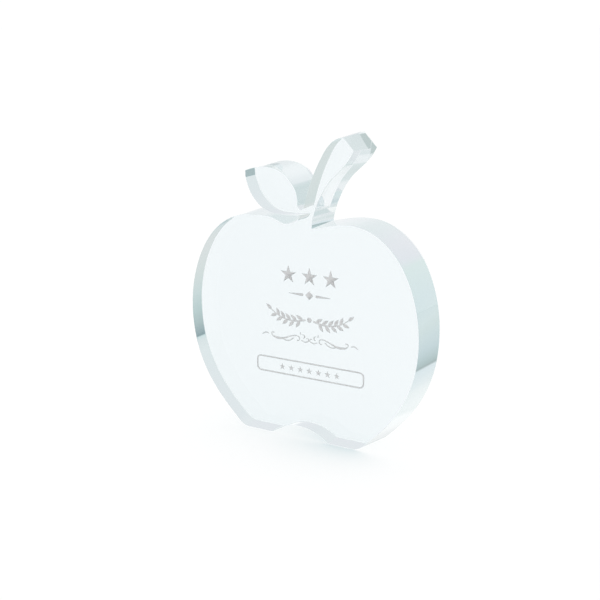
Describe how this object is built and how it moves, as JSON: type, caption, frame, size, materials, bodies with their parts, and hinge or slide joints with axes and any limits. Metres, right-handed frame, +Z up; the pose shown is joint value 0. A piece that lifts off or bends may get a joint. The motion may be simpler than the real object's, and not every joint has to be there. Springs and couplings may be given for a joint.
{
  "type": "apple-shaped acrylic desk award",
  "caption": "Thick clear acrylic slab cut to an apple outline with stem and leaf, standing on two flat feet, with grey-filled ornament engraved in its back face.",
  "frame": {"origin": "on the ground, midway along the width and midway through the slab's thickness", "axes": "+X to the right seen from the front, +Y from the front face to the engraved back face, +Z up through stem and leaf"},
  "size_m": [0.1358, 0.018, 0.1532],
  "materials": {
    "clear_acrylic": "clear colourless cast acrylic with a faint teal cast at its edges, polished on every face",
    "engraving_fill": "matt mid-grey filler lying in shallow engraved pockets"
  },
  "bodies": {
    "root": {"acrylic_slab": "clear_acrylic", "star_left": "engraving_fill", "star_middle": "engraving_fill", "star_right": "engraving_fill", "rule_left": "engraving_fill", "rule_diamond": "engraving_fill", "rule_right": "engraving_fill", "laurel_left": "engraving_fill", "laurel_berry": "engraving_fill", "laurel_right": "engraving_fill", "scroll_left": "engraving_fill", "scroll_knot": "engraving_fill", "scroll_right": "engraving_fill", "flick_left": "engraving_fill", "flick_right": "engraving_fill", "drop_left": "engraving_fill", "drop_right": "engraving_fill", "comma_left": "engraving_fill", "comma_right": "engraving_fill", "name_frame": "engraving_fill", "frame_star_1": "engraving_fill", "frame_star_2": "engraving_fill", "frame_star_3": "engraving_fill", "frame_star_4": "engraving_fill", "frame_star_5": "engraving_fill", "frame_star_6": "engraving_fill", "frame_star_7": "engraving_fill"}
  },
  "joints": []
}
